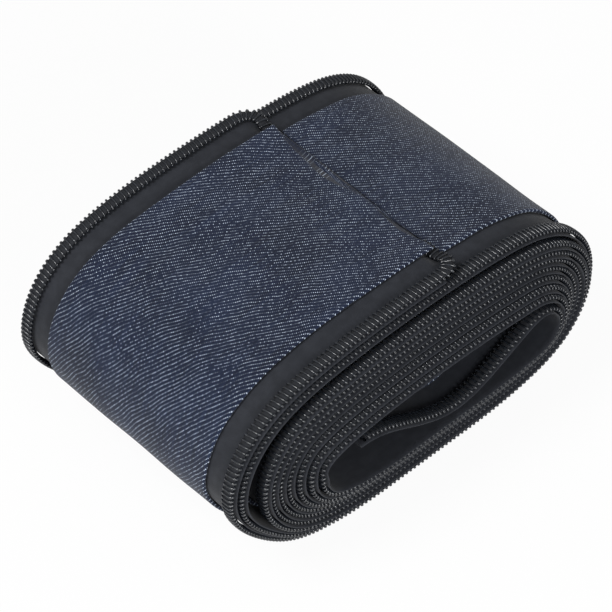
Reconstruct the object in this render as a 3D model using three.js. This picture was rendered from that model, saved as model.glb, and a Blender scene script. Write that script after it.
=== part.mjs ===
// Welding cable cover: a long denim strip with half of a coil zip sewn along each long edge.
// The zip is open and the strip is wound flat into an oval roll that lies on its broad side.
// Units are millimetres. X runs along the roll's long side, Y across the strip from the near
// edge to the far edge, and Z is up. The origin is under the middle of the roll, on the surface.

import * as THREE from "three";

// The strip's cross-section, measured from the near edge inwards and from the inner face outwards
const STRIP_WIDTH = 115;
const TAPE_THICKNESS = 0.5;
const TAPE_INSET = 1.6;
const TAPE_WIDTH = 19;
const COIL_WIDTH = 5.2;
const COIL_THICKNESS = 2.3;
const COIL_ROUNDING = 0.9;
const DENIM_THICKNESS = 0.8;
const DENIM_INSET = 14;
const FOLD_WIDTH = 8;
const LAYER_GAP = 0.3;

// The roll: turns wound round a flat oval core, with room left between one turn and the next
const TURNS = 9;
const TURN_GAP = 0.3;
const CORE_HALF_LENGTH = 50;
const CORE_HALF_HEIGHT = 6;
const FLAT_LENGTH = 40;
const FIRST_TURN = { top: 39, left: 38.7, bottom: 35.6, right: 48.5 };
const TOP_SLACK = [2, 1.6, 0, 0, 0, 0, 0, 0, 2.5];
const LEFT_SLACK = [0, 7.8, 0, 0.1, 0.1, 0.4, 0.8, 1.4, 0];
const EDGE_SHIFT = [0, 0.2, 5, 4.7, 4.8, 5.4, 7, 9.5, 11, 12];
const HEEL_LIFT = 3;
const HEEL_ANGLE = 220;
const HEEL_TURNS = 1.75;

// The strip's two ends and the sag of the last layer into the hollow
const OUTER_END_X = 24;
const INNER_END_X = -38;
const HEM_WIDTH = 12;
const SAG_DEPTH = 18.5;
const SAG_X = 17;
const SAG_HALF_LENGTH = 53;

// The coil's hook at the outer end, where it turns in and tucks under the hem
const HOOK_RADIUS = 7;
const HOOK_SETBACK = 1;
const HOOK_TAIL_END = 20;
const HOOK_STEPS = 5;

// How finely the turns are faceted
const QUARTER_STEPS = 6;
const INNER_QUARTER_STEPS = 18;
const STEP_POWER = 1.6;

// Levels above the strip's inner face, worked out from the sizes above
const COVER_LEVEL = TAPE_THICKNESS + LAYER_GAP;
const EDGE_THICKNESS = COVER_LEVEL + COIL_THICKNESS;
const TURN_PITCH = EDGE_THICKNESS + TURN_GAP;
const FOLD_LEVEL = COVER_LEVEL + DENIM_THICKNESS;
const DENIM_TOP = FOLD_LEVEL + DENIM_THICKNESS;
const LAST_QUARTER = 4 * TURNS - 1;
const EPSILON = 1e-6;

// Winding, counted in quarter turns from the top: 0 top, 1 left, 2 bottom, 3 right, 4 top again

function sumFirst(values, count) {
  return values.slice(0, count).reduce((sum, value) => sum + value, 0);
}

function windingDepths() {
  const depths = [FIRST_TURN.right + TURN_PITCH];
  for (let turn = 0; turn <= TURNS; turn += 1) {
    const wound = TURN_PITCH * turn;
    depths.push(FIRST_TURN.top - wound - sumFirst(TOP_SLACK, turn));
    depths.push(FIRST_TURN.left - wound - sumFirst(LEFT_SLACK, turn));
    depths.push(FIRST_TURN.bottom - wound);
    depths.push(FIRST_TURN.right - wound);
  }
  return depths;
}

// A uniform cubic spline keeps neighbouring turns at least their control values' distance apart
function smoothValue(values, position) {
  const last = values.length - 2;
  const index = Math.min(Math.max(Math.floor(position), 0), last);
  const t = position - index;
  const at = (i) => values[Math.min(Math.max(i, 0), values.length - 1)];
  const weights = [
    (1 - t) ** 3,
    3 * t ** 3 - 6 * t ** 2 + 4,
    1 + 3 * t + 3 * t ** 2 - 3 * t ** 3,
    t ** 3,
  ];
  return weights.reduce((sum, weight, i) => sum + (weight * at(index - 1 + i)) / 6, 0);
}

const DEPTHS = windingDepths();

function heelLift(quarter, angle) {
  const fromHeel = angle - THREE.MathUtils.degToRad(HEEL_ANGLE);
  const facing = Math.cos(2 * fromHeel);
  if (quarter > 4 * HEEL_TURNS || Math.cos(fromHeel) < 0 || facing < 0) return 0;
  return HEEL_LIFT * facing ** 2;
}

function sag(quarter, x) {
  if (quarter < LAST_QUARTER) return 0;
  const t = Math.min(Math.abs(x - SAG_X) / SAG_HALF_LENGTH, 1);
  return SAG_DEPTH * (0.5 + 0.5 * Math.cos(Math.PI * t));
}

// Point of the strip's inner face in the XZ plane, raised outwards by level
function rollPoint(quarter, level) {
  const angle = (Math.PI / 2) * (1 + quarter);
  const c = Math.cos(angle);
  const s = Math.sin(angle);
  const below = s < 0;
  const halfLength = below ? CORE_HALF_LENGTH - FLAT_LENGTH / 2 : CORE_HALF_LENGTH;
  const flat = below ? (FLAT_LENGTH / 2) * Math.sign(c) : 0;
  const reach = Math.hypot(halfLength * c, CORE_HALF_HEIGHT * s);
  const depth = smoothValue(DEPTHS, quarter + 1) - heelLift(quarter, angle % (2 * Math.PI)) + level;
  const x = (halfLength ** 2 * c) / reach + flat + depth * c;
  const z = (CORE_HALF_HEIGHT ** 2 * s) / reach + depth * s;
  return new THREE.Vector2(x, z);
}

function rollLayer(quarter, level) {
  const point = rollPoint(quarter, level);
  if (quarter <= LAST_QUARTER) return point;
  const base = rollPoint(quarter, 0);
  const ahead = base.x + 1;
  const slope = sag(quarter, base.x) - sag(quarter, ahead);
  const lean = Math.atan(slope);
  point.x -= level * Math.sin(lean);
  point.y -= sag(quarter, base.x) + level * (1 - Math.cos(lean));
  return point;
}

// Place on the strip: along it in quarter turns, across it from the near edge, and outwards
function place(quarter, across, level) {
  const point = rollLayer(quarter, level);
  const shift = smoothValue(EDGE_SHIFT, Math.max(quarter / 4, 0));
  return new THREE.Vector3(point.x, across - STRIP_WIDTH / 2 - shift, point.y);
}

// The quarter, on the top of a turn, at which the strip's inner face reaches x
function topQuarter(turn, x) {
  let low = 4 * turn - 0.95;
  let high = 4 * turn + 0.95;
  for (let i = 0; i < 40; i += 1) {
    const middle = (low + high) / 2;
    if (rollPoint(middle, 0).x > x) low = middle;
    else high = middle;
  }
  return (low + high) / 2;
}

// Stations along the strip: close together round the bends, wide apart on the flat stretches
function evenStations(from, to) {
  const list = [];
  for (let quarter = Math.floor(from); quarter < to; quarter += 1) {
    const steps = quarter >= LAST_QUARTER ? INNER_QUARTER_STEPS : QUARTER_STEPS;
    const fromFlat = quarter % 2 === 0;
    for (let i = 0; i < steps; i += 1) {
      const t = i / steps;
      const share = fromFlat ? t ** STEP_POWER : 1 - (1 - t) ** STEP_POWER;
      const onBottom = i === 0 && ((quarter % 4) + 4) % 4 === 2;
      if (onBottom) list.push(quarter - EPSILON, quarter + EPSILON);
      else list.push(quarter + share);
    }
  }
  return list;
}

// All pieces share these stations, so that their facets lie parallel and never touch
function sharedStations() {
  const marks = [OUTER_END, OUTER_HEM, HOOK_START, INNER_HEM, INNER_END];
  const even = evenStations(OUTER_END, INNER_END);
  const clear = even.filter((station) => marks.every((mark) => Math.abs(station - mark) > 0.004));
  return [...clear, ...marks].sort((a, b) => a - b);
}

function stationsBetween(from, to) {
  return STATIONS.filter((station) => station >= from && station <= to);
}

// A closed body through rings of points, with a flat cap at each end
function loft(rings, profile, mirrored) {
  const sides = profile.length;
  const positions = rings.flat().flatMap((point) => point.toArray());
  const triangles = [];
  for (let ring = 0; ring + 1 < rings.length; ring += 1) {
    for (let i = 0; i < sides; i += 1) {
      const a = ring * sides + i;
      const b = ring * sides + ((i + 1) % sides);
      triangles.push([a, a + sides, b], [b, a + sides, b + sides]);
    }
  }
  const cap = THREE.ShapeUtils.triangulateShape(profile, []);
  const end = (rings.length - 1) * sides;
  cap.forEach(([a, b, c]) => triangles.push([a, b, c], [end + a, end + c, end + b]));
  const turned = triangles.map(([a, b, c]) => (mirrored ? [a, c, b] : [a, b, c]));
  const geometry = new THREE.BufferGeometry();
  geometry.setAttribute("position", new THREE.Float32BufferAttribute(positions, 3));
  geometry.setIndex(turned.flat());
  geometry.computeVertexNormals();
  return geometry;
}

const HOOK_START_X = OUTER_END_X - HOOK_SETBACK - HOOK_RADIUS;
const OUTER_END = topQuarter(0, OUTER_END_X);
const OUTER_HEM = topQuarter(0, OUTER_END_X - HEM_WIDTH);
const HOOK_START = topQuarter(0, HOOK_START_X);
const INNER_HEM = topQuarter(TURNS, INNER_END_X + HEM_WIDTH);
const INNER_END = topQuarter(TURNS, INNER_END_X);
const STATIONS = sharedStations();

// Denim strip, folded under along both long edges and hemmed at both ends

function denimProfile(filled) {
  const underside = filled ? COVER_LEVEL : FOLD_LEVEL;
  const far = STRIP_WIDTH - DENIM_INSET;
  return [
    new THREE.Vector2(DENIM_INSET, COVER_LEVEL),
    new THREE.Vector2(DENIM_INSET + FOLD_WIDTH, COVER_LEVEL),
    new THREE.Vector2(DENIM_INSET + FOLD_WIDTH + LAYER_GAP, underside),
    new THREE.Vector2(far - FOLD_WIDTH - LAYER_GAP, underside),
    new THREE.Vector2(far - FOLD_WIDTH, COVER_LEVEL),
    new THREE.Vector2(far, COVER_LEVEL),
    new THREE.Vector2(far, DENIM_TOP),
    new THREE.Vector2(DENIM_INSET, DENIM_TOP),
  ];
}

function denimRing(quarter, filled) {
  return denimProfile(filled).map((point) => place(quarter, point.x, point.y));
}

function denimGeometry() {
  const outerHem = stationsBetween(OUTER_END, OUTER_HEM - EPSILON);
  const body = stationsBetween(OUTER_HEM, INNER_HEM);
  const innerHem = stationsBetween(INNER_HEM + EPSILON, INNER_END);
  const rings = [
    ...outerHem.map((quarter) => denimRing(quarter, true)),
    denimRing(topQuarter(0, OUTER_END_X - HEM_WIDTH + LAYER_GAP), true),
    ...body.map((quarter) => denimRing(quarter, false)),
    denimRing(topQuarter(TURNS, INNER_END_X + HEM_WIDTH - LAYER_GAP), true),
    ...innerHem.map((quarter) => denimRing(quarter, true)),
  ];
  return loft(rings, denimProfile(false), false);
}

// Zip tapes, flat bands that run on under the denim's folded edges

function fromEdge(across, farSide) {
  return farSide ? STRIP_WIDTH - across : across;
}

function tapeGeometry(farSide) {
  const profile = [
    new THREE.Vector2(TAPE_INSET, 0),
    new THREE.Vector2(TAPE_INSET + TAPE_WIDTH, 0),
    new THREE.Vector2(TAPE_INSET + TAPE_WIDTH, TAPE_THICKNESS),
    new THREE.Vector2(TAPE_INSET, TAPE_THICKNESS),
  ];
  const rings = stationsBetween(HOOK_START, INNER_END).map((quarter) =>
    profile.map((point) => place(quarter, fromEdge(point.x, farSide), point.y))
  );
  return loft(rings, profile, farSide);
}

// Zip coils, each a flattened round-headed rib along the tape's outer face

function coilProfile() {
  const top = EDGE_THICKNESS;
  return [
    new THREE.Vector2(COIL_ROUNDING, COVER_LEVEL),
    new THREE.Vector2(COIL_WIDTH, COVER_LEVEL),
    new THREE.Vector2(COIL_WIDTH, top),
    new THREE.Vector2(COIL_ROUNDING, top),
    new THREE.Vector2(0, top - COIL_ROUNDING),
    new THREE.Vector2(0, COVER_LEVEL + COIL_ROUNDING),
  ];
}

function coilRing(profile, x, across, heading, drop, farSide) {
  return profile.map((point) => {
    const off = point.x - COIL_WIDTH / 2;
    const quarter = topQuarter(0, x - off * Math.sin(heading));
    const inward = across + off * Math.cos(heading);
    return place(quarter, fromEdge(inward, farSide), point.y - drop);
  });
}

// The hook drops from the tape's outer face to below the denim before it reaches the denim
function hookRings(profile, farSide) {
  const middle = COIL_WIDTH / 2;
  const turnIn = Math.PI / 2;
  const tailX = HOOK_START_X + HOOK_RADIUS;
  const drop = EDGE_THICKNESS - TAPE_THICKNESS;
  const arcDrop = (t) => drop * THREE.MathUtils.smoothstep(t, 0.4, 1.3);
  const rings = [
    coilRing(profile, tailX, HOOK_TAIL_END, turnIn, drop, farSide),
    coilRing(profile, tailX, DENIM_INSET - LAYER_GAP, turnIn, drop, farSide),
  ];
  for (let i = HOOK_STEPS; i > 0; i -= 1) {
    const heading = (turnIn * i) / HOOK_STEPS;
    const x = HOOK_START_X + HOOK_RADIUS * Math.sin(heading);
    const across = middle + HOOK_RADIUS * (1 - Math.cos(heading));
    rings.push(coilRing(profile, x, across, heading, arcDrop(i / HOOK_STEPS), farSide));
  }
  return rings;
}

function coilGeometry(farSide) {
  const profile = coilProfile();
  const along = stationsBetween(HOOK_START, INNER_END);
  const rings = [
    ...hookRings(profile, farSide),
    ...along.map((quarter) =>
      profile.map((point) => place(quarter, fromEdge(point.x, farSide), point.y))
    ),
  ];
  return loft(rings, profile, farSide);
}

// Materials

function denimMaterial() {
  return new THREE.MeshStandardMaterial({ color: 0x3c4760, roughness: 0.95, metalness: 0 });
}

function tapeMaterial() {
  return new THREE.MeshStandardMaterial({ color: 0x26282e, roughness: 0.85, metalness: 0 });
}

function coilMaterial() {
  return new THREE.MeshStandardMaterial({ color: 0x33373e, roughness: 0.5, metalness: 0 });
}

// The whole cover, centred over the origin and standing on Z = 0

function named(name, geometry, material) {
  const mesh = new THREE.Mesh(geometry, material);
  mesh.name = name;
  return mesh;
}

const cover = new THREE.Group();
cover.add(named("denim_strip", denimGeometry(), denimMaterial()));
cover.add(named("zip_tape_near", tapeGeometry(false), tapeMaterial()));
cover.add(named("zip_tape_far", tapeGeometry(true), tapeMaterial()));
cover.add(named("zip_coil_near", coilGeometry(false), coilMaterial()));
cover.add(named("zip_coil_far", coilGeometry(true), coilMaterial()));

const extent = new THREE.Box3().setFromObject(cover);
const middle = extent.getCenter(new THREE.Vector3());
cover.position.set(-middle.x, -middle.y, -extent.min.z);

export default cover;
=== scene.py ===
import math

import bpy
import numpy as np
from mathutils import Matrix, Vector

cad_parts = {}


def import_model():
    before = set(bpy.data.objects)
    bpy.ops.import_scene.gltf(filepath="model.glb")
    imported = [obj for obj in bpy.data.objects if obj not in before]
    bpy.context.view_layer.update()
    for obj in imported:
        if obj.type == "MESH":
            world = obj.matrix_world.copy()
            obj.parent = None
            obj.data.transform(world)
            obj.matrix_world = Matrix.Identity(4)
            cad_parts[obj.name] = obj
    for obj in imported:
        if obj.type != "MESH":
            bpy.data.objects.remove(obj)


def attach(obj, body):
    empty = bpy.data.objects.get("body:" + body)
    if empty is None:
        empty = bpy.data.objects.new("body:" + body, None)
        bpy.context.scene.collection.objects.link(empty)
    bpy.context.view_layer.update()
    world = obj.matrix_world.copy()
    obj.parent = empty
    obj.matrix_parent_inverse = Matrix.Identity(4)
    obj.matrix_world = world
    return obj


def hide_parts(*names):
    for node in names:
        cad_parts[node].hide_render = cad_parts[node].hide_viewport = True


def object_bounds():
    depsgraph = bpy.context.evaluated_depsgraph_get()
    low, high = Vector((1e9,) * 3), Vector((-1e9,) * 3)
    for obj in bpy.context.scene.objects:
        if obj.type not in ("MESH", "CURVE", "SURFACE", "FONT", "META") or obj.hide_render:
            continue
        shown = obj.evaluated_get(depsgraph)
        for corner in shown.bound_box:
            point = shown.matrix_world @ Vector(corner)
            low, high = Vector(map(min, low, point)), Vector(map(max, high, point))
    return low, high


# Welding cable cover: a denim strip with half a coil zip along each long edge, wound into a flat
# oval roll. Sizes are in millimetres here and become metres when a mesh is made.

MM = 0.001

# The strip's cross-section, from the near edge inwards and from the inner face outwards. The tapes
# and coils reach past the frame's strip, by a millimetre or so.
STRIP_WIDTH = 115.0
TAPE_THICKNESS = 0.5
TAPE_INSET = -1.3
TAPE_WIDTH = 21.9
COIL_WIDTH = 6.2
COIL_MIDDLE = 2.1
COIL_THICKNESS = 2.3
DENIM_THICKNESS = 0.8
DENIM_INSET = 14.0
FOLD_WIDTH = 8.0
LAYER_GAP = 0.3
COVER_LEVEL = TAPE_THICKNESS + LAYER_GAP
EDGE_THICKNESS = COVER_LEVEL + COIL_THICKNESS
FOLD_LEVEL = COVER_LEVEL + DENIM_THICKNESS
DENIM_TOP = FOLD_LEVEL + DENIM_THICKNESS

# The roll: the frame's winding, leant over a little, with its last layer sagging deeper
TURNS = 9
TURN_PITCH = EDGE_THICKNESS + 0.3
CORE_HALF_LENGTH = 50.0
CORE_HALF_HEIGHT = 6.0
FLAT_LENGTH = 40.0
FIRST_TURN = {"top": 39.0, "left": 38.7, "bottom": 35.6, "right": 48.5}
TOP_SLACK = [2.0, 1.6, 0, 0, 0, 0, 0, 0, 2.5]
LEFT_SLACK = [0, 7.8, 0, 0.1, 0.1, 0.4, 0.8, 1.4, 0]
EDGE_SHIFT = [0, 0.2, 5, 4.7, 4.8, 5.4, 7, 9.5, 11, 12]
HEEL_LIFT = 3.0
HEEL_ANGLE = math.radians(220)
HEEL_TURNS = 1.75
LEAN = 2.3
INNER_LEAN_LOSS = 0.55
OUTER_END_X = 24.0
INNER_END_X = -38.0
HEM_WIDTH = 12.0
SAG_DEPTH = 20.5
SAG_X = 12.0
SAG_HALF_LENGTH = 53.0
HOOK_RADIUS = 7.0
HOOK_SETBACK = 1.0
HOOK_TAIL_END = 20.0
LAST_QUARTER = 4 * TURNS - 1

# How finely the roll and the cloth are cut up
TABLE_STEPS = 16000
BOTTOM_EPSILON = 1e-6
CLOTH_STEP = 2.5
END_STEPS = (0, 0.05, 0.2, 0.45, 0.8)

# The cloth's small waves, and how its outer end settles on the turn below
EASE_WIDTH = 16
SETTLE_DEPTH = 1.2
SETTLE_LENGTH = 60
WAVE_SIZE = 46
WAVE_HEIGHT = 0.2
EDGE_WAVE_SIZE = 30
EDGE_WAVE_WIDTH = 0.25
EDGE_WAVE_REACH = 9
HEM_WAVE_REACH = 30
HEM_BULGE = 2.5
UNDERSIDE_UV_OFFSET = 200

# The tape round the coil's hook
HOOK_TAPE_LENGTH = 10
HOOK_TAPE_STEP = 0.8
HOOK_TAPE_GAP = 0.2
HOOK_TAPE_DIP = 2.5
TAPE_RIPPLE = 0.12
TAPE_RIPPLE_SIZE = 17

# The nylon helix and the cord in it
COIL_PITCH = 2.12
WIRE_RADIUS = 0.47
WIRE_SIDES = 5
LOOP_STEPS = 12
LOOP_SQUARENESS = 0.8
TAIL_STEPS = 19
HOOK_ARC_STEPS = 30
CORD_HALF_WIDTH = 2.2
CORD_HALF_HEIGHT = 0.55
CORD_STEP = 2.2
CORD_SIDES = 6

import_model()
CAD_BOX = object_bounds()


# Winding, counted in quarter turns from the top of the outermost turn

def winding_depths():
    depths = [FIRST_TURN["right"] + TURN_PITCH]
    for turn in range(TURNS + 1):
        wound = TURN_PITCH * turn
        depths.append(FIRST_TURN["top"] - wound - sum(TOP_SLACK[:turn]))
        depths.append(FIRST_TURN["left"] - wound - sum(LEFT_SLACK[:turn]))
        depths.append(FIRST_TURN["bottom"] - wound)
        depths.append(FIRST_TURN["right"] - wound)
    return np.array(depths)


def smooth_value(values, position):
    """Uniform cubic spline through control values."""
    values = np.asarray(values, float)
    index = np.clip(np.floor(position).astype(int), 0, len(values) - 2)
    t = position - index
    weights = [
        (1 - t) ** 3,
        3 * t ** 3 - 6 * t ** 2 + 4,
        1 + 3 * t + 3 * t ** 2 - 3 * t ** 3,
        t ** 3,
    ]
    total = 0
    for i, weight in enumerate(weights):
        total = total + weight * values[np.clip(index - 1 + i, 0, len(values) - 1)] / 6
    return total


def heel_lift(quarter, angle):
    from_heel = angle - HEEL_ANGLE
    facing = np.cos(2 * from_heel)
    on = (quarter <= 4 * HEEL_TURNS) & (np.cos(from_heel) > 0) & (facing > 0)
    return np.where(on, HEEL_LIFT * facing ** 2, 0)


def sag(x):
    t = np.minimum(np.abs(x - SAG_X) / SAG_HALF_LENGTH, 1)
    return SAG_DEPTH * (0.5 + 0.5 * np.cos(np.pi * t))


def roll_point(quarter, level):
    """Point of the strip's inner face in the XZ plane, raised outwards by level, before the sag."""
    angle = (np.pi / 2) * (1 + quarter)
    c, s = np.cos(angle), np.sin(angle)
    below = s < 0
    half_length = np.where(below, CORE_HALF_LENGTH - FLAT_LENGTH / 2, CORE_HALF_LENGTH)
    flat = np.where(below, FLAT_LENGTH / 2 * np.sign(c), 0)
    reach = np.hypot(half_length * c, CORE_HALF_HEIGHT * s)
    depth = smooth_value(winding_depths(), quarter + 1) - heel_lift(quarter, angle) + level
    x = half_length ** 2 * c / reach + flat + depth * c
    z = CORE_HALF_HEIGHT ** 2 * s / reach + depth * s
    lean = LEAN * (1 - INNER_LEAN_LOSS * np.maximum(quarter, 0) / (4 * TURNS))
    tilt, along_face = lean * np.sin(2 * angle), 2 * lean * np.cos(2 * angle)
    x = x - tilt * c + along_face * s
    z = z - tilt * s - along_face * c
    return np.stack([x, z], -1)


def roll_layer(quarter, level):
    point = roll_point(quarter, level)
    base = roll_point(quarter, 0)[:, 0]
    lean = np.arctan(sag(base) - sag(base + 1))
    last = quarter > LAST_QUARTER
    point[:, 0] -= np.where(last, level * np.sin(lean), 0)
    point[:, 1] -= np.where(last, sag(base) + level * (1 - np.cos(lean)), 0)
    return point


def top_quarter(turn, x):
    low, high = 4 * turn - 0.95, 4 * turn + 0.95
    for _ in range(40):
        middle = (low + high) / 2
        if roll_point(np.array([middle]), 0)[0, 0] > x:
            low = middle
        else:
            high = middle
    return (low + high) / 2


class Roll:
    """Maps distance along the strip, distance across it and level above its inner face to space."""

    def __init__(self):
        start = top_quarter(0, OUTER_END_X + 12)
        end = top_quarter(TURNS, INNER_END_X)
        quarter = np.linspace(start, end, TABLE_STEPS)
        bottoms = np.arange(2, 4 * TURNS, 4)
        around = [bottoms - BOTTOM_EPSILON, bottoms + BOTTOM_EPSILON]
        quarter = np.sort(np.concatenate([quarter, *around]))
        inner, outer = roll_layer(quarter, 0.0), roll_layer(quarter, 1.0)
        self.point = inner
        self.normal = outer - inner
        self.shift = smooth_value(EDGE_SHIFT, np.maximum(quarter / 4, 0))
        middle = inner + self.normal * FOLD_LEVEL
        steps = np.hypot(*np.diff(middle, axis=0).T)
        self.along = np.concatenate([[0], np.cumsum(steps)])
        self.along -= self.at_x(OUTER_END_X)
        self.length = self.along[-1]
        edge = inner + self.normal * EDGE_THICKNESS
        box = np.array(CAD_BOX) / MM
        self.origin = np.array([
            (edge[:, 0].min() + edge[:, 0].max()) / 2 - (box[0][0] + box[1][0]) / 2,
            -self.shift.max() / 2 - (box[0][1] + box[1][1]) / 2,
            edge[:, 1].min() - box[0][2],
        ])

    def at_x(self, x):
        """Distance along the strip at which the outer end's top stretch reaches x."""
        top = self.along < 60
        return np.interp(-x, -self.point[top, 0], self.along[top])

    def place(self, along, across, level):
        given = [np.asarray(v, float) for v in (along, across, level)]
        along, across, level = np.broadcast_arrays(*given)
        at = lambda values: np.interp(along, self.along, values)
        x = at(self.point[:, 0]) + level * at(self.normal[:, 0])
        z = at(self.point[:, 1]) + level * at(self.normal[:, 1])
        y = across - STRIP_WIDTH / 2 - at(self.shift)
        return np.stack([x, y, z], -1) - self.origin


ROLL = Roll()


# Small helpers

def smoothstep(t, low=0.0, high=1.0):
    t = np.clip((t - low) / (high - low), 0, 1)
    return t * t * (3 - 2 * t)


def waves(along, across, seed, scale, strength):
    """Soft irregular waves, the same on every run."""
    rng = np.random.default_rng(seed)
    total = np.zeros(np.broadcast(along, across).shape)
    for _ in range(14):
        turn = rng.uniform(0, 2 * np.pi)
        size = scale * rng.uniform(0.7, 1.8)
        phase = rng.uniform(0, 2 * np.pi)
        travel = along * np.cos(turn) + across * np.sin(turn)
        total = total + np.sin(2 * np.pi * travel / size + phase)
    return strength * total / 3.7


def mesh_piece(name, points, faces, material, uv=None):
    """A piece from points in millimetres, with each point's place on the flat cloth as its uv."""
    mesh = bpy.data.meshes.new(name)
    points = np.asarray(points, np.float32).reshape(-1, 3) * MM
    faces = np.asarray(faces, np.int32)
    mesh.vertices.add(len(points))
    mesh.vertices.foreach_set("co", points.ravel())
    mesh.loops.add(faces.size)
    mesh.loops.foreach_set("vertex_index", faces.ravel())
    mesh.polygons.add(len(faces))
    starts = np.arange(0, faces.size, faces.shape[1], dtype=np.int32)
    mesh.polygons.foreach_set("loop_start", starts)
    mesh.polygons.foreach_set("use_smooth", np.ones(len(faces), bool))
    mesh.update(calc_edges=True)
    if uv is not None:
        layer = mesh.uv_layers.new(name="weave")
        corners = np.asarray(uv, np.float32).reshape(-1, 2)[faces.ravel()]
        layer.data.foreach_set("uv", corners.ravel())
    mesh.validate()
    obj = bpy.data.objects.new(name, mesh)
    bpy.context.scene.collection.objects.link(obj)
    mesh.materials.append(material)
    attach(obj, "root")
    return obj


def tube_faces(rings, sides, inward):
    """Quads of a closed tube of rings, with an end cap of quads at each end (sides is even)."""
    ring = np.arange(rings - 1)[:, None] * sides
    i = np.arange(sides)[None, :]
    j = (i + 1) % sides
    quads = np.stack([ring + i, ring + i + sides, ring + j + sides, ring + j], -1).reshape(-1, 4)
    half = sides // 2
    k = np.arange(half - 1)
    cap = np.stack([k, k + 1, sides - 2 - k, sides - 1 - k], -1)
    last = (rings - 1) * sides
    quads = np.concatenate([quads, cap, cap[:, ::-1] + last])
    return quads[:, ::-1] if inward else quads


def from_edge(across, far_side):
    return STRIP_WIDTH - across if far_side else across


# Denim strip: folded edges, hems and soft waves

def denim_section():
    """Across and level of the strip's outline, from the near fold over the outer face and back."""
    radius = DENIM_THICKNESS
    far = STRIP_WIDTH - DENIM_INSET
    bend = np.linspace(-np.pi / 2, np.pi / 2, 7)
    inwards = radius - radius * np.cos(bend)
    height = FOLD_LEVEL + radius * np.sin(bend)
    near_fold = list(zip(DENIM_INSET + inwards, height))
    far_fold = list(zip(far - inwards[::-1], height[::-1]))
    outer = [(w, DENIM_TOP) for w in np.linspace(DENIM_INSET + 2, far - 2, 26)]
    flat = np.linspace(far - FOLD_WIDTH - 10, DENIM_INSET + FOLD_WIDTH + 10, 4)
    under = [
        (far - FOLD_WIDTH, COVER_LEVEL),
        (far - FOLD_WIDTH - LAYER_GAP, FOLD_LEVEL),
        *[(w, FOLD_LEVEL) for w in flat],
        (DENIM_INSET + FOLD_WIDTH + LAYER_GAP, FOLD_LEVEL),
        (DENIM_INSET + FOLD_WIDTH, COVER_LEVEL),
    ]
    outside = near_fold + outer + far_fold
    return np.array(outside + under), len(outside)


def denim_strip():
    section, outside = denim_section()
    lead = np.array(END_STEPS)
    body = np.arange(CLOTH_STEP, ROLL.length - CLOTH_STEP, CLOTH_STEP)
    along = np.concatenate([lead, body, ROLL.length - lead[::-1]])[:, None]
    across = section[None, :, 0] + 0 * along
    level = section[None, :, 1] + 0 * along
    from_end = np.minimum(along, ROLL.length - along)

    # The hems are doubled, and both ends are rounded folds
    doubled = 1 - smoothstep(from_end, HEM_WIDTH - 0.6, HEM_WIDTH + 0.2)
    from_side = np.minimum(across, STRIP_WIDTH - across)
    inside = (from_side > DENIM_INSET + FOLD_WIDTH) & (level < DENIM_TOP - 0.1)
    level = np.where(inside, level - DENIM_THICKNESS * doubled, level)
    t = np.clip(1 - from_end / DENIM_THICKNESS, 0, 1)
    roundness = np.sqrt(1 - 0.96 * t ** 2)
    level = FOLD_LEVEL + (level - FOLD_LEVEL) * np.where(t > 0, roundness, 1)

    # The outer end settles on the turn below, and the cloth is never quite flat
    near_ease = smoothstep(across, DENIM_INSET, DENIM_INSET + EASE_WIDTH)
    far_ease = smoothstep(STRIP_WIDTH - across, DENIM_INSET, DENIM_INSET + EASE_WIDTH)
    middle = near_ease * far_ease
    level = level - SETTLE_DEPTH * middle * (1 - smoothstep(along, 0, SETTLE_LENGTH))
    level = level + waves(along, across, 3, WAVE_SIZE, WAVE_HEIGHT) * (0.4 + 0.6 * middle)
    edge = 1 - smoothstep(from_side, DENIM_INSET, DENIM_INSET + EDGE_WAVE_REACH)
    sideways = waves(along, 0 * across, 5, EDGE_WAVE_SIZE, EDGE_WAVE_WIDTH)
    across = across + edge * sideways * np.sign(across - STRIP_WIDTH / 2)
    hem_line = 1.2 * np.sin(across / 9.5) + 0.7 * np.sin(across / 5.1 + 1)
    at_hem = 1 - smoothstep(along, 0, HEM_WAVE_REACH)
    along_at = along + hem_line * at_hem + HEM_BULGE * middle * at_hem

    points = ROLL.place(along_at, across, level)
    uv = np.stack([along + 0 * across, section[None, :, 0] + 0 * along], -1)
    uv[:, outside:, 1] += UNDERSIDE_UV_OFFSET
    faces = tube_faces(len(along), len(section), False)
    return mesh_piece("denim", points, faces, denim_material(), uv)


# Zip tapes

def tape_section():
    thin = TAPE_THICKNESS / 2
    end = TAPE_INSET + TAPE_WIDTH
    top = np.linspace(TAPE_INSET + 0.2, end - 0.2, 12)
    outer = [(w, TAPE_THICKNESS) for w in top]
    inner = [(w, 0.0) for w in top[::-1]]
    return np.array([(TAPE_INSET, thin), *outer, (end, thin), *inner])


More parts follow.
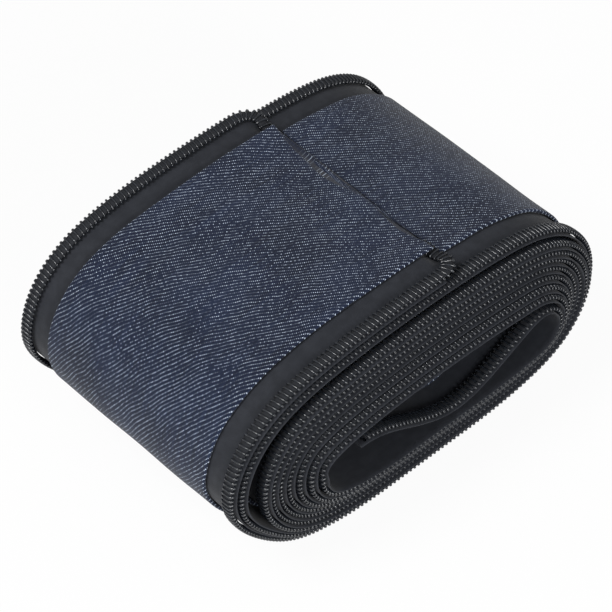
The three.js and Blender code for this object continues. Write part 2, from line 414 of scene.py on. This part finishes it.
def tape(name, far_side, material):
    section = tape_section()
    start = ROLL.at_x(OUTER_END_X - HOOK_SETBACK - 0.5)
    turn_end = start + HOOK_TAPE_LENGTH
    turn = np.arange(start, turn_end, HOOK_TAPE_STEP)
    run = np.arange(turn_end, ROLL.length, CLOTH_STEP)
    along = np.concatenate([turn, run, [ROLL.length]])[:, None]
    across = section[None, :, 0] + 0 * along
    level = section[None, :, 1] + 0 * along

    # Round the coil's hook the tape is cut back and dips with the coil under the denim
    hook = ROLL.at_x(OUTER_END_X - HOOK_SETBACK - HOOK_RADIUS)
    inner_radius = HOOK_RADIUS - HOOK_TAPE_GAP
    past = np.clip(hook - along, 0, inner_radius - HOOK_TAPE_GAP)
    rim = COIL_MIDDLE + HOOK_RADIUS - np.sqrt(np.maximum(inner_radius ** 2 - past ** 2, 0))
    cut = np.where(past > 0, rim, TAPE_INSET)
    share = (across - TAPE_INSET) / TAPE_WIDTH
    across = cut + share * (TAPE_INSET + TAPE_WIDTH - cut)
    level = level - HOOK_TAPE_DIP * smoothstep(past, 0.5, 6.0) * smoothstep(across, 3.0, 13.0)
    phase = 2 if far_side else 0
    level = level + TAPE_RIPPLE * np.sin(along / TAPE_RIPPLE_SIZE + phase) * share
    points = ROLL.place(along, from_edge(across, far_side), level)
    uv = np.stack([along + 0 * across, across], -1)
    faces = tube_faces(len(along), len(section), far_side)
    return mesh_piece(name, points, faces, material, uv)


# Zip coils: a nylon helix round a cord, which hooks in under the hem at the outer end

def coil_path():
    """Travel, along, across, heading and drop of the coil's middle line, from its tail inwards."""
    start_x = OUTER_END_X - HOOK_SETBACK - HOOK_RADIUS
    tail = np.linspace(HOOK_TAIL_END, COIL_MIDDLE + HOOK_RADIUS, TAIL_STEPS + 1)[:-1]
    tail_x = np.full(TAIL_STEPS, start_x + HOOK_RADIUS)
    turn = np.linspace(np.pi / 2, 0, HOOK_ARC_STEPS)
    hook_x = start_x + HOOK_RADIUS * np.sin(turn)
    hook_across = COIL_MIDDLE + HOOK_RADIUS * (1 - np.cos(turn))
    run = np.arange(ROLL.at_x(start_x) + 0.5, ROLL.length - 1.0, 1.0)
    s = np.concatenate([ROLL.at_x(tail_x), ROLL.at_x(hook_x), run])
    w = np.concatenate([tail, hook_across, np.full(len(run), COIL_MIDDLE)])
    heading = np.concatenate([np.full(TAIL_STEPS, np.pi / 2), turn, np.zeros(len(run))])
    drop = (EDGE_THICKNESS - TAPE_THICKNESS) * smoothstep(w, 5.0, DENIM_INSET - 1)
    length = np.concatenate([[0], np.cumsum(np.hypot(np.diff(s), np.diff(w)))])
    return length, s, w, heading, drop


def coil_place(travel, off, level, far_side):
    """Place by travel along the coil, offset towards its inner side, and level above the strip."""
    length, s, w, heading, drop = coil_path()
    at = lambda values: np.interp(travel, length, values)
    turn = at(heading)
    along = at(s) + off * np.sin(turn)
    across = at(w) + off * np.cos(turn)
    return ROLL.place(along, from_edge(across, far_side), level - at(drop))


def wire_mesh(centre, away, radius, sides):
    """Rings of a wire round a path, with away giving each ring its first direction."""
    tangent = np.gradient(centre, axis=0)
    tangent /= np.linalg.norm(tangent, axis=1)[:, None]
    away = away - tangent * np.sum(away * tangent, 1)[:, None]
    away /= np.linalg.norm(away, axis=1)[:, None]
    side = np.cross(tangent, away)
    angle = 2 * np.pi * np.arange(sides) / sides
    c, s = np.cos(angle)[None, :, None], np.sin(angle)[None, :, None]
    ring = away[:, None] * c + side[:, None] * s
    return centre[:, None] + ring * radius[:, None, None]


def coil(name, far_side, material):
    travel_end = coil_path()[0][-1]
    loops = int(travel_end / COIL_PITCH)
    phase = np.linspace(0, 2 * np.pi * loops, loops * LOOP_STEPS + 1)
    travel = phase / (2 * np.pi) * COIL_PITCH
    half_width = COIL_WIDTH / 2 - WIRE_RADIUS
    half_height = COIL_THICKNESS / 2 - WIRE_RADIUS
    squash = lambda v: np.sign(v) * np.abs(v) ** LOOP_SQUARENESS
    off = -half_width * squash(np.cos(phase))
    rise = half_height * squash(np.sin(phase))
    mid = COVER_LEVEL + COIL_THICKNESS / 2
    centre = coil_place(travel, off, mid + rise, far_side)
    axis = coil_place(travel, off * 0.4, mid + 0 * rise, far_side)
    radius = WIRE_RADIUS * (1 + 0.12 * np.cos(phase))
    points = wire_mesh(centre, centre - axis, radius, WIRE_SIDES)
    sides = WIRE_SIDES
    ring = np.arange(len(phase) - 1)[:, None] * sides
    i = np.arange(sides)[None, :]
    j = (i + 1) % sides
    faces = np.stack([ring + i, ring + j, ring + j + sides, ring + i + sides], -1)
    faces = orient(points.reshape(-1, 3), faces.reshape(-1, 4), centre)
    return mesh_piece(name, points, faces, material)


def orient(points, faces, centre):
    """Turns the faces over where the first one looks at its wire's middle."""
    a, b, c = (points[faces[0, k]] for k in (0, 1, 2))
    outward = np.dot(np.cross(b - a, c - a), (a + c) / 2 - centre[0])
    return faces if outward > 0 else faces[:, ::-1]


def coil_cord(name, far_side, material):
    """The braided cord that the helix is wound on."""
    travel = np.arange(1.0, coil_path()[0][-1] - 1, CORD_STEP)
    mid = COVER_LEVEL + COIL_THICKNESS / 2
    angle = 2 * np.pi * np.arange(CORD_SIDES) / CORD_SIDES
    off = CORD_HALF_WIDTH * np.cos(angle)
    level = mid + CORD_HALF_HEIGHT * np.sin(angle)
    rings = [coil_place(travel, a, b, far_side) for a, b in zip(off, level)]
    points = np.stack(rings, 1)
    faces = tube_faces(len(travel), CORD_SIDES, not far_side)
    return mesh_piece(name, points, faces, material)


# Materials

class Nodes:
    """Short names for the node tree of one material."""

    def __init__(self, name):
        self.material = bpy.data.materials.new(name)
        self.material.use_nodes = True
        self.tree = self.material.node_tree
        self.shader = self.tree.nodes["Principled BSDF"]

    def link(self, source, target):
        self.tree.links.new(source, target)

    def add(self, kind, **settings):
        node = self.tree.nodes.new(kind)
        for key, value in settings.items():
            setattr(node, key, value)
        return node

    def math(self, operation, a, b=None, c=None):
        node = self.add("ShaderNodeMath", operation=operation)
        for socket, value in zip(node.inputs, (a, b, c)):
            if value is None:
                continue
            if isinstance(value, (int, float)):
                socket.default_value = value
            else:
                self.link(value, socket)
        return node.outputs[0]

    def uv(self):
        place = self.add("ShaderNodeUVMap", uv_map="weave")
        parts = self.add("ShaderNodeSeparateXYZ")
        self.link(place.outputs[0], parts.inputs[0])
        return parts.outputs[0], parts.outputs[1]

    def vector(self, x, y, z=0.0):
        node = self.add("ShaderNodeCombineXYZ")
        for socket, value in zip(node.inputs, (x, y, z)):
            if isinstance(value, (int, float)):
                socket.default_value = value
            else:
                self.link(value, socket)
        return node.outputs[0]

    def white_noise(self, x, y):
        node = self.add("ShaderNodeTexWhiteNoise", noise_dimensions="2D")
        self.link(self.vector(x, y), node.inputs["Vector"])
        return node.outputs["Value"]

    def noise(self, vector, scale, detail=2.0):
        node = self.add("ShaderNodeTexNoise")
        node.inputs["Scale"].default_value = scale
        node.inputs["Detail"].default_value = detail
        self.link(vector, node.inputs["Vector"])
        return node.outputs["Fac"]

    def ramp(self, value, low, high):
        node = self.add("ShaderNodeMapRange")
        node.interpolation_type = "SMOOTHSTEP"
        node.inputs["From Min"].default_value = low
        node.inputs["From Max"].default_value = high
        self.link(value, node.inputs["Value"])
        return node.outputs["Result"]

    def mix(self, factor, a, b):
        node = self.add("ShaderNodeMix", data_type="RGBA")
        for socket, value in ((node.inputs[0], factor), (node.inputs[6], a), (node.inputs[7], b)):
            if isinstance(value, (int, float)):
                socket.default_value = value
            elif isinstance(value, tuple):
                socket.default_value = (*value, 1)
            else:
                self.link(value, socket)
        return node.outputs[2]

    def bump(self, height, strength, distance):
        node = self.add("ShaderNodeBump")
        node.inputs["Strength"].default_value = strength
        node.inputs["Distance"].default_value = distance
        self.link(height, node.inputs["Height"])
        self.link(node.outputs["Normal"], self.shader.inputs["Normal"])


def srgb(r, g, b):
    linear = lambda v: v / 12.92 if v <= 0.04045 else ((v + 0.055) / 1.055) ** 2.4
    return tuple(linear(v / 255) for v in (r, g, b))


WARP_SPACING = 0.43
WEFT_SPACING = 0.62
INDIGO = srgb(31, 42, 68)
INDIGO_DARK = srgb(15, 22, 41)
WEFT_PALE = srgb(206, 220, 240)
# Painted shade for the grooves between the warp threads
INDIGO_THREAD_SHADE = srgb(10, 13, 24)
# The first tape colour is painted shade for the weave's hollows; the other two are the tape's own
# mottled black
TAPE_COLOURS_AND_SHADE = (srgb(28, 31, 37), srgb(34, 37, 45), srgb(50, 53, 61))
COIL_COLOURS = (srgb(25, 28, 33), srgb(40, 44, 51))
CORD_COLOURS = (srgb(20, 22, 27), srgb(34, 37, 43))


def denim_material():
    """Three-up, one-down twill: blue warp floats with a pale weft point in each, on a diagonal, and
    painted shade along the sides of each warp thread.
    """
    n = Nodes("denim_twill")
    s, w = n.uv()
    cloth = n.vector(s, w)
    wobble = n.math("MULTIPLY", n.math("SUBTRACT", n.noise(cloth, 0.08), 0.5), 1.6)
    i = n.math("DIVIDE", n.math("ADD", w, wobble), WARP_SPACING)
    j = n.math("DIVIDE", n.math("SUBTRACT", s, wobble), WEFT_SPACING)
    cell_i = n.math("FLOOR", i)
    cell_j = n.math("FLOOR", j)
    in_i = n.math("SUBTRACT", n.math("FRACT", i), 0.5)
    in_j = n.math("SUBTRACT", n.math("FRACT", j), 0.5)
    step = n.math("FLOORED_MODULO", n.math("SUBTRACT", cell_i, cell_j), 4.0)
    is_weft = n.math("LESS_THAN", step, 0.5)

    across_thread = n.math("MULTIPLY", in_i, in_i)
    along_thread = n.math("MULTIPLY", in_j, in_j)
    away = n.math("MULTIPLY", n.math("ADD", across_thread, along_thread), 4.6)
    dot = n.math("MAXIMUM", n.math("SUBTRACT", 1.0, away), 0.0)
    chance = n.math("POWER", n.white_noise(cell_i, cell_j), 2.0)
    worn = n.ramp(n.noise(cloth, 0.05, 3.0), 0.3, 0.7)
    from_middle = n.math("ABSOLUTE", n.math("SUBTRACT", w, STRIP_WIDTH / 2))
    fold = n.ramp(from_middle, 42.4, 43.3)
    amount = n.math("ADD", n.math("MULTIPLY", chance, 1.3), n.math("MULTIPLY", worn, 0.3))
    amount = n.math("ADD", amount, n.math("MULTIPLY", fold, 0.8))
    pale = n.math("MULTIPLY", n.math("MULTIPLY", is_weft, dot), amount)

    thread = n.vector(n.math("MULTIPLY", s, 0.03), n.math("MULTIPLY", cell_i, 1.7))
    streak = n.math("MULTIPLY", n.noise(thread, 1.0), 0.55)
    cloud = n.math("MULTIPLY", n.noise(cloth, 0.03), 0.45)
    tone = n.math("ADD", streak, cloud)
    blue = n.mix(n.ramp(tone, 0.3, 0.7), INDIGO_DARK, INDIGO)
    # Painted shade: both sides of each warp thread are mixed towards a near-black blue, as if the
    # grooves between threads lay in shade
    thread_shade = n.ramp(n.math("ABSOLUTE", in_i), 0.34, 0.5)
    blue = n.mix(n.math("MULTIPLY", thread_shade, 0.6), blue, INDIGO_THREAD_SHADE)
    n.link(n.mix(pale, blue, WEFT_PALE), n.shader.inputs["Base Color"])

    round_thread = n.math("SUBTRACT", 1.0, n.math("MULTIPLY", across_thread, 3.5))
    height = n.math("SUBTRACT", round_thread, n.math("MULTIPLY", is_weft, 0.5))
    n.bump(height, 0.55, 0.00012)
    n.shader.inputs["Roughness"].default_value = 0.92
    n.shader.inputs["Specular IOR Level"].default_value = 0.25
    n.shader.inputs["Sheen Weight"].default_value = 0.12
    n.shader.inputs["Sheen Roughness"].default_value = 0.5
    return n.material


def tape_material():
    """Black polyester tape with fine chevrons, with painted shade in the weave's hollows."""
    n = Nodes("zip_tape_weave")
    s, w = n.uv()
    fold = n.math("PINGPONG", w, 1.6)
    diagonal = n.math("SINE", n.math("MULTIPLY", n.math("ADD", s, fold), 2 * math.pi / 0.62))
    rib = n.math("SINE", n.math("MULTIPLY", w, 2 * math.pi / 0.4))
    height = n.math("ADD", n.math("MULTIPLY", diagonal, 0.6), n.math("MULTIPLY", rib, 0.4))
    mottle = n.ramp(n.noise(n.vector(s, w), 0.22, 3.0), 0.3, 0.75)
    hollow_shade, dark, light = TAPE_COLOURS_AND_SHADE
    base = n.mix(mottle, dark, light)
    # Painted shade: the low places between chevrons and ribs are mixed towards the darkest colour
    n.link(n.mix(n.ramp(height, -0.9, 0.9), hollow_shade, base), n.shader.inputs["Base Color"])
    n.bump(height, 0.35, 0.00008)
    n.shader.inputs["Roughness"].default_value = 0.75
    n.shader.inputs["Specular IOR Level"].default_value = 0.35
    n.shader.inputs["Sheen Weight"].default_value = 0.08
    return n.material


def coil_material():
    """Dark grey nylon monofilament."""
    n = Nodes("zip_coil_nylon")
    place = n.add("ShaderNodeTexCoord").outputs["Object"]
    speck = n.ramp(n.noise(place, 900.0, 3.0), 0.35, 0.7)
    n.link(n.mix(speck, *COIL_COLOURS), n.shader.inputs["Base Color"])
    n.bump(n.noise(place, 2600.0, 2.0), 0.15, 0.00004)
    n.shader.inputs["Roughness"].default_value = 0.22
    n.shader.inputs["Specular IOR Level"].default_value = 0.95
    return n.material


def cord_material():
    """Black braided cord inside the coil."""
    n = Nodes("zip_cord_braid")
    place = n.add("ShaderNodeTexCoord").outputs["Object"]
    braid = n.noise(place, 1500.0, 2.0)
    n.link(n.mix(braid, *CORD_COLOURS), n.shader.inputs["Base Color"])
    n.bump(braid, 0.4, 0.0001)
    n.shader.inputs["Roughness"].default_value = 0.85
    return n.material


# Floor, light and camera

CAMERA_AZIMUTH = math.radians(43.2)
CAMERA_ELEVATION = math.radians(47.2)
CAMERA_DISTANCE = 1288.0
CAMERA_TARGET = (-2.2, 6.0, 46.6)
CAMERA_LENS = 200.0
SENSOR_WIDTH = 36.0
FLOOR_HALF_SIDE = 4.0
FLOOR_GLOW_SHARE = 0.94
SOFT_LIGHT = 0.36
LIGHTS = {
    "key": {"place": (-0.9, 0.2, 1.4), "size": 0.6, "power": 15},
    "fill": {"place": (-0.4, -1.5, 0.8), "size": 0.6, "power": 18},
}
LIGHT_AIM = (0, 0, 0.04)


def floor_material():
    """White floor that keeps a faint shadow of what lies on it."""
    material = bpy.data.materials.new("studio_floor")
    material.use_nodes = True
    tree = material.node_tree
    tree.nodes.clear()
    out = tree.nodes.new("ShaderNodeOutputMaterial")
    path = tree.nodes.new("ShaderNodeLightPath")
    matt = tree.nodes.new("ShaderNodeBsdfDiffuse")
    matt.inputs["Color"].default_value = (0.9, 0.9, 0.9, 1)
    glow = tree.nodes.new("ShaderNodeEmission")
    glow.inputs["Strength"].default_value = 1.0
    seen = tree.nodes.new("ShaderNodeMath")
    seen.operation = "MAXIMUM"
    share = tree.nodes.new("ShaderNodeMath")
    share.operation = "MULTIPLY"
    share.inputs[1].default_value = FLOOR_GLOW_SHARE
    mix = tree.nodes.new("ShaderNodeMixShader")
    tree.links.new(path.outputs["Is Camera Ray"], seen.inputs[0])
    tree.links.new(path.outputs["Is Transmission Ray"], seen.inputs[1])
    tree.links.new(seen.outputs[0], share.inputs[0])
    tree.links.new(share.outputs[0], mix.inputs[0])
    tree.links.new(matt.outputs[0], mix.inputs[1])
    tree.links.new(glow.outputs[0], mix.inputs[2])
    tree.links.new(mix.outputs[0], out.inputs[0])
    return material


def floor():
    mesh = bpy.data.meshes.new("floor")
    side = FLOOR_HALF_SIDE
    corners = [(-side, -side, 0), (side, -side, 0), (side, side, 0), (-side, side, 0)]
    mesh.from_pydata(corners, [], [(0, 1, 2, 3)])
    mesh.materials.append(floor_material())
    obj = bpy.data.objects.new("floor", mesh)
    bpy.context.scene.collection.objects.link(obj)


def world():
    scene_world = bpy.data.worlds.new("studio")
    bpy.context.scene.world = scene_world
    scene_world.use_nodes = True
    tree = scene_world.node_tree
    tree.nodes.clear()
    out = tree.nodes.new("ShaderNodeOutputWorld")
    path = tree.nodes.new("ShaderNodeLightPath")
    soft = tree.nodes.new("ShaderNodeBackground")
    soft.inputs["Strength"].default_value = SOFT_LIGHT
    white = tree.nodes.new("ShaderNodeBackground")
    white.inputs["Strength"].default_value = 1.0
    mix = tree.nodes.new("ShaderNodeMixShader")
    tree.links.new(path.outputs["Is Camera Ray"], mix.inputs[0])
    tree.links.new(soft.outputs[0], mix.inputs[1])
    tree.links.new(white.outputs[0], mix.inputs[2])
    tree.links.new(mix.outputs[0], out.inputs[0])


def area_light(name, place, size, power):
    data = bpy.data.lights.new(name, "AREA")
    data.size = size
    data.energy = power
    obj = bpy.data.objects.new(name, data)
    obj.location = place
    aim = Vector(LIGHT_AIM) - Vector(place)
    obj.rotation_euler = aim.to_track_quat("-Z", "Y").to_euler()
    bpy.context.scene.collection.objects.link(obj)


def camera():
    data = bpy.data.cameras.new("photo_camera")
    data.lens = CAMERA_LENS
    data.sensor_width = SENSOR_WIDTH
    data.clip_start = 0.05
    data.clip_end = 20
    obj = bpy.data.objects.new("photo_camera", data)
    flat = math.cos(CAMERA_ELEVATION)
    forward = Vector((
        math.sin(CAMERA_AZIMUTH) * flat,
        math.cos(CAMERA_AZIMUTH) * flat,
        -math.sin(CAMERA_ELEVATION),
    ))
    obj.location = (Vector(CAMERA_TARGET) - forward * CAMERA_DISTANCE) * MM
    obj.rotation_euler = forward.to_track_quat("-Z", "Y").to_euler()
    bpy.context.scene.collection.objects.link(obj)
    bpy.context.scene.camera = obj


# The scene

denim = denim_strip()
tape_look, coil_look, cord_look = tape_material(), coil_material(), cord_material()
near_tape = tape("tape_near", False, tape_look)
far_tape = tape("tape_far", True, tape_look)
near_coil = coil("coil_near", False, coil_look)
far_coil = coil("coil_far", True, coil_look)
near_cord = coil_cord("coil_cord_near", False, cord_look)
far_cord = coil_cord("coil_cord_far", True, cord_look)

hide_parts("denim_strip")
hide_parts("zip_tape_near")
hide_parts("zip_tape_far")
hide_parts("zip_coil_near")
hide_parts("zip_coil_far")

floor()
world()
for light_name, light in LIGHTS.items():
    area_light(light_name, **light)
camera()
bpy.context.scene.view_settings.view_transform = "Standard"
